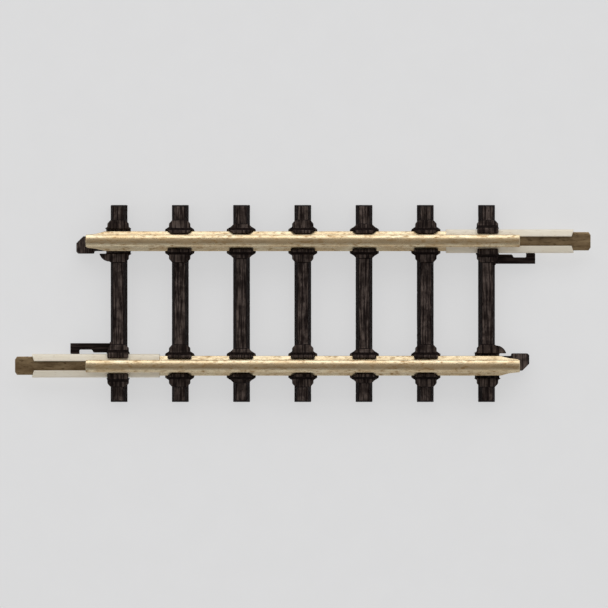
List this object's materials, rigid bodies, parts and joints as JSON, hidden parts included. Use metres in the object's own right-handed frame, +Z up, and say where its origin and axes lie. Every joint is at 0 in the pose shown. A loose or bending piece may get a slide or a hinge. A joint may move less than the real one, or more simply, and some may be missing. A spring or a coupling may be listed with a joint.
{
  "type": "model track section",
  "caption": "Short straight Z gauge track section: bare metal rails on a dark moulded sleeper strip, with sliding rail joiners and flexing latch arms at diagonal corners.",
  "frame": {"origin": "middle of the section on the surface the sleepers stand on", "axes": "+X along the rails to the right end, +Y across the track to the rear rail, +Z up from the sleepers to the rail heads"},
  "size_m": [0.0334, 0.0116, 0.0026],
  "materials": {
    "sleeper_plastic": "dark brown-black moulded plastic, satin",
    "rail_metal": "bare nickel silver, drawn, pale and slightly yellow",
    "joiner_metal": "bare folded nickel silver sheet, bright on the bends"
  },
  "bodies": {
    "track": {"sleeper_1": "sleeper_plastic", "sleeper_2": "sleeper_plastic", "sleeper_3": "sleeper_plastic", "sleeper_4": "sleeper_plastic", "sleeper_5": "sleeper_plastic", "sleeper_6": "sleeper_plastic", "sleeper_7": "sleeper_plastic", "rail_bed_rear": "sleeper_plastic", "rail_bed_front": "sleeper_plastic", "end_lug_left": "sleeper_plastic", "end_lug_right": "sleeper_plastic", "rail_rear": "rail_metal", "rail_front": "rail_metal"},
    "latch_arm_left": {"latch_arm_left": "sleeper_plastic"},
    "latch_arm_right": {"latch_arm_right": "sleeper_plastic"},
    "joiner_left": {"joiner_left": "joiner_metal"},
    "joiner_right": {"joiner_right": "joiner_metal"}
  },
  "joints": [
    {"name": "latch_flex_left", "type": "hinge", "parent": "track", "child": "latch_arm_left", "pos_m": [-0.01121, -0.00231, 0.00059], "axis": [0, 0, -1], "range_deg": [0, 5], "stiffness_Nm_per_rad": 0.006},
    {"name": "latch_flex_right", "type": "hinge", "parent": "track", "child": "latch_arm_right", "pos_m": [0.01121, 0.00231, 0.00059], "axis": [0, 0, -1], "range_deg": [0, 5], "stiffness_Nm_per_rad": 0.006},
    {"name": "joiner_slide_left", "type": "slide", "parent": "track", "child": "joiner_left", "axis": [-1, 0, 0], "range_m": [-0.00025, 0.0045]},
    {"name": "joiner_slide_right", "type": "slide", "parent": "track", "child": "joiner_right", "axis": [1, 0, 0], "range_m": [-0.00025, 0.0045]}
  ]
}
